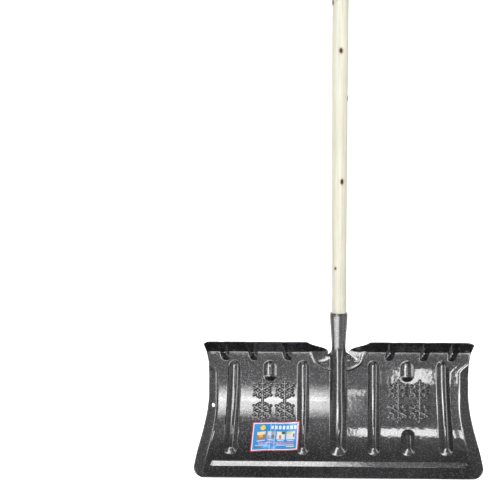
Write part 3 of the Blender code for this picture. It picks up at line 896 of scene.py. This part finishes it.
def make_camera():
    """A long lens a little to the right of the blade's middle and 8 degrees above it."""
    camera = bpy.data.objects.new("camera", bpy.data.cameras.new("camera"))
    bpy.context.scene.collection.objects.link(camera)
    bearing = CAMERA["bearing"]
    back = Vector((math.sin(bearing), -math.cos(bearing), math.tan(CAMERA["rise"]))).normalized()
    aim = Vector(CAMERA["aim"])
    look_at(camera, aim + back * CAMERA["distance"], aim)
    camera.data.sensor_width = CAMERA["sensor"]
    camera.data.lens = CAMERA["lens"]
    camera.data.clip_end = CAMERA["clip_end"]
    bpy.context.scene.camera = camera


# ---------------------------------------------------------------- surroundings
# Each pair multiplies a ramp of (share of the way up from straight down, brightness) and a ramp of (share of
# the way round from the back, brightness). The haze is the same all round.
HAZE_UP = [(0.0, 0.02), (0.30, 0.03), (0.35, 0.45), (0.50, 0.45), (0.62, 0.40), (0.78, 0.22), (1.0, 0.12)]
BELT_UP = [(0.30, 0.0), (0.335, 1.0), (0.395, 1.0), (0.415, 0.0)]
BELT_ROUND = [
    (0.0, 1.0), (0.29, 0.3), (0.32, 3.5), (0.40, 6.0), (0.480, 6.0), (0.510, 2.6), (0.535, 0.5), (0.62, 0.5),
    (0.67, 0.8), (0.70, 0.8), (0.73, 0.3), (1.0, 1.0),
]
STRIPS_UP = [(0.40, 0.0), (0.44, 1.0), (0.85, 1.0), (0.93, 0.0)]
STRIPS_ROUND = [
    (0.05, 0.0), (0.07, 3.0), (0.12, 3.0), (0.14, 0.0),
    (0.385, 0.0), (0.400, 7.0), (0.440, 7.0), (0.460, 0.0),
    (0.660, 0.0), (0.675, 3.5), (0.695, 3.5), (0.710, 0.0),
    (0.86, 0.0), (0.88, 3.0), (0.93, 3.0), (0.95, 0.0),
]
# The light that a pale floor would throw on the back
BEHIND_UP = [(0.0, 0.5), (0.30, 0.7), (0.42, 0.0)]
BEHIND_ROUND = [(0.0, 1.0), (0.16, 1.0), (0.25, 0.0), (0.75, 0.0), (0.84, 1.0), (1.0, 1.0)]
# What lights rough surfaces, and what the camera sees behind the shovel
EVEN_GREY = (0.36, 0.36, 0.37)
BACKDROP = (1.0, 1.0, 1.0)

FLOOR_HALF = 60.0
FLOOR_GAP = 0.0002


def make_surroundings():
    """Dim haze, a bright belt under the horizon and tall bright strips; white where the camera sees it."""
    world = bpy.data.worlds.new("studio")
    bpy.context.scene.world = world
    world.use_nodes = True
    tree = world.node_tree
    parts = node(tree, "ShaderNodeSeparateXYZ")
    tree.links.new(node(tree, "ShaderNodeTexCoord").outputs["Generated"], parts.inputs[0])
    up = math_node(tree, "ADD", math_node(tree, "MULTIPLY", parts.outputs[2], 0.5), 0.5)
    turn = math_node(tree, "ARCTAN2", parts.outputs[0], math_node(tree, "MULTIPLY", parts.outputs[1], -1.0))
    turn = math_node(tree, "ADD", math_node(tree, "DIVIDE", turn, 2 * math.pi), 0.5)

    def glow(up_stops, round_stops):
        upward, sideways = grey_ramp(tree, up, up_stops), grey_ramp(tree, turn, round_stops)
        return mixed(tree, 1.0, upward, sideways, "MULTIPLY")

    belt_and_strips = mixed(tree, 1.0, glow(BELT_UP, BELT_ROUND), glow(STRIPS_UP, STRIPS_ROUND), "ADD")
    around = mixed(tree, 1.0, grey_ramp(tree, up, HAZE_UP), glow(BEHIND_UP, BEHIND_ROUND), "ADD")
    around = mixed(tree, 1.0, around, belt_and_strips, "ADD")
    path = node(tree, "ShaderNodeLightPath")
    even = mixed(tree, path.outputs["Is Diffuse Ray"], around, EVEN_GREY)
    shade = mixed(tree, path.outputs["Is Camera Ray"], even, BACKDROP)
    tree.links.new(shade, tree.nodes["Background"].inputs["Color"])


def make_floor():
    """A pale plain floor just under the cutting edge. It glows faintly, so that it stays white."""
    bm = bmesh.new()
    bmesh.ops.create_grid(bm, x_segments=1, y_segments=1, size=FLOOR_HALF)
    mesh = bpy.data.meshes.new("floor")
    bm.to_mesh(mesh)
    bm.free()
    floor = bpy.data.objects.new("floor", mesh)
    bpy.context.scene.collection.objects.link(floor)
    floor.location = (0, 0, blade_low.z - FLOOR_GAP)
    made, shader = new_material("floor")
    shader.inputs["Base Color"].default_value = (0.85, 0.85, 0.85, 1)
    shader.inputs["Roughness"].default_value = 0.9
    shader.inputs["Specular IOR Level"].default_value = 0.0
    shader.inputs["Emission Color"].default_value = (1, 1, 1, 1)
    shader.inputs["Emission Strength"].default_value = 0.88
    mesh.materials.append(made)
    floor.visible_glossy = False
    floor.visible_diffuse = False


# ---------------------------------------------------------------- lamps
def fade_edges(light, soft):
    """Lets a lamp fade out over these shares of its width and height."""
    light.use_nodes = True
    tree = light.node_tree
    parts = node(tree, "ShaderNodeSeparateXYZ")
    tree.links.new(node(tree, "ShaderNodeNewGeometry").outputs["Parametric"], parts.inputs[0])
    fades = []
    for part, edge in zip((parts.outputs[0], parts.outputs[1]), soft):
        from_middle = math_node(tree, "ABSOLUTE", math_node(tree, "SUBTRACT", part, 0.5))
        fade = node(tree, "ShaderNodeMapRange", interpolation_type="SMOOTHSTEP", From_Max=edge)
        tree.links.new(math_node(tree, "SUBTRACT", 0.5, from_middle), fade.inputs["Value"])
        fades.append(fade.outputs[0])
    tree.links.new(math_node(tree, "MULTIPLY", *fades), tree.nodes["Emission"].inputs["Strength"])


def softbox(name, place, target, width, height, radiance, soft=None, glossy=True):
    """An area lamp of this radiance. Soft is the share of its width and height over which it fades out."""
    light = bpy.data.lights.new(name, "AREA")
    light.shape = "RECTANGLE"
    light.size, light.size_y = width, height
    light.energy = radiance * math.pi * width * height
    lamp = bpy.data.objects.new(name, light)
    bpy.context.scene.collection.objects.link(lamp)
    look_at(lamp, place, target)
    lamp.visible_camera = False
    lamp.visible_glossy = glossy
    if soft:
        fade_edges(light, soft)


def make_lights():
    """Six boxes that the enamel mirrors, two that only light the wood and label, and four behind."""
    crisp = (0.08, 0.08)
    even = (0.2, 0.2)
    softbox("left_panel", (-0.20, -1.03, 0.72), (-0.16, 0.03, 0.145), 0.56, 0.60, 7.5, soft=(0.25, 0.42))
    softbox("left_core", (-0.15, -1.02, 0.68), (-0.12, 0.0, 0.028), 0.38, 0.08, 3.4, soft=(0.20, 0.45))
    softbox("right_low_band", (0.15, -0.70, 1.06), (0.12, 0.0, 0.083), 0.24, 0.14, 8.5, soft=crisp)
    softbox("right_low_far", (0.31, -0.70, 1.06), (0.24, 0.0, 0.083), 0.04, 0.12, 5.5, soft=crisp)
    softbox("right_upper_patch", (0.195, -1.14, 0.350), (0.15, 0.047, 0.185), 0.10, 0.24, 8.0, soft=crisp)
    softbox("by_the_ridge", (0.047, -1.08, 0.587), (0.035, 0.04, 0.157), 0.045, 0.10, 5.5, soft=(0.12, 0.12))
    softbox("key", (1.2, -3.0, 2.6), (0, 0, 0.5), 1.6, 1.6, 3.4, glossy=False)
    softbox("fill", (-1.6, -2.6, 1.4), (0, 0, 0.5), 1.4, 1.4, 0.7, glossy=False)
    softbox("back_fill", (0.6, 3.0, 2.2), (0, 0, 0.5), 1.6, 1.6, 3.6, glossy=False)
    softbox("back_panel", (-0.1, 1.7, 0.9), (0, 0, 0.2), 1.1, 0.5, 5.0, soft=even)
    softbox("back_left", (-1.5, 1.6, 1.2), (0, 0, 0.3), 1.0, 1.6, 4.0, soft=even)
    softbox("back_right", (1.6, 1.4, 1.0), (0, 0, 0.3), 0.8, 1.4, 3.5, soft=even)


# ---------------------------------------------------------------- the shovel
make_camera()
make_surroundings()
make_floor()
make_lights()
bpy.context.scene.view_settings.view_transform = "Standard"

make_head(hammered_enamel())
make_label(printed_label())
make_pole(bare_wood())
plating = zinc()
for name in ("fixing_screw_upper", "fixing_screw_lower"):
    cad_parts[name].material_slots[0].material = plating
